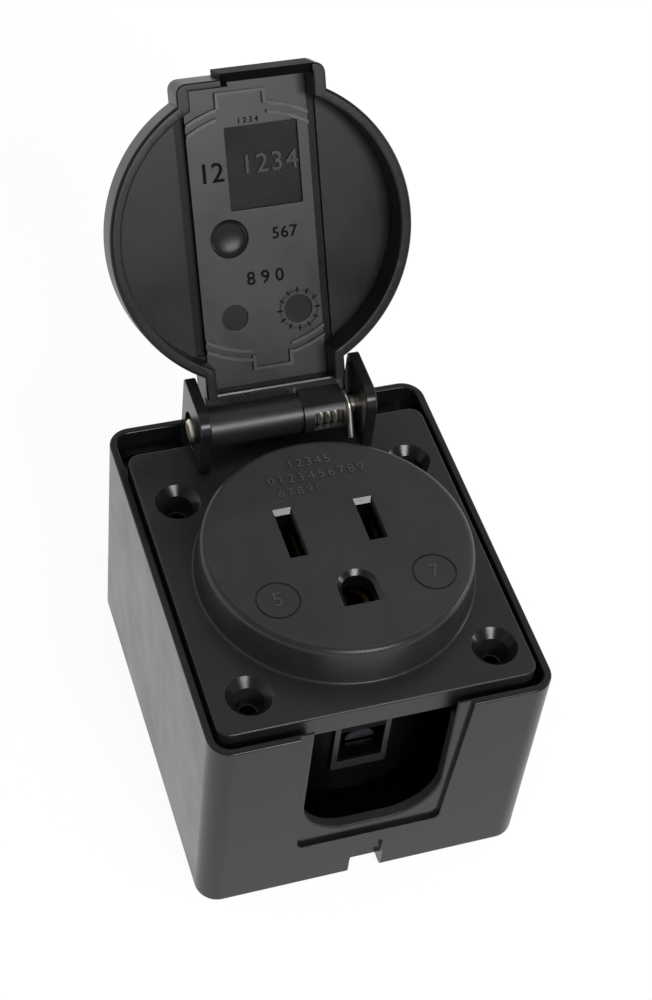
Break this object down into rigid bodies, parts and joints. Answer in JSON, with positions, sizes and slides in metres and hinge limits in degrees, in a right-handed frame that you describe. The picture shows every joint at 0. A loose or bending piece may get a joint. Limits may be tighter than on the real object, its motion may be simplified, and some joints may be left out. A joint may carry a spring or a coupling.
{
  "type": "socket outlet",
  "caption": "Grounded socket outlet with a round raised face and a sprung hinged lid, set in a rectangular surface box with a U-shaped cable entry.",
  "frame": {"origin": "middle of the box's underside, which goes to the wall", "axes": "+Z the way the socket faces, +Y from the cable entry to the hinge, +X to the right of someone who faces the cable entry"},
  "size_m": [0.053, 0.0891, 0.0941],
  "materials": {
    "box_plastic": "semi-gloss black",
    "housing_plastic": "satin black, fine moulded grain",
    "lid_plastic": "satin black, fine moulded grain",
    "carrier_plastic": "matt black",
    "contact_brass": "bright rolled",
    "plated_steel": "zinc plated",
    "spring_steel": "bright drawn wire and pin"
  },
  "bodies": {
    "socket": {"surface_box": "box_plastic", "socket_housing": "housing_plastic", "contact_carrier": "carrier_plastic", "neutral_contact": "contact_brass", "neutral_terminal_cage": "plated_steel", "neutral_terminal_screw": "plated_steel", "line_contact": "contact_brass", "line_terminal_cage": "plated_steel", "line_terminal_screw": "plated_steel", "ground_contact": "contact_brass", "ground_terminal_cage": "plated_steel", "ground_terminal_screw": "plated_steel", "carrier_screw_left": "plated_steel", "carrier_screw_right": "plated_steel", "hinge_pin": "spring_steel", "lid_spring": "spring_steel"},
    "lid": {"lid": "lid_plastic"}
  },
  "joints": [
    {"name": "lid_hinge", "type": "hinge", "parent": "socket", "child": "lid", "pos_m": [0, 0.0256, 0.0453], "axis": [1, 0, 0], "range_deg": [0, 120], "deforming": ["lid_spring"]}
  ]
}
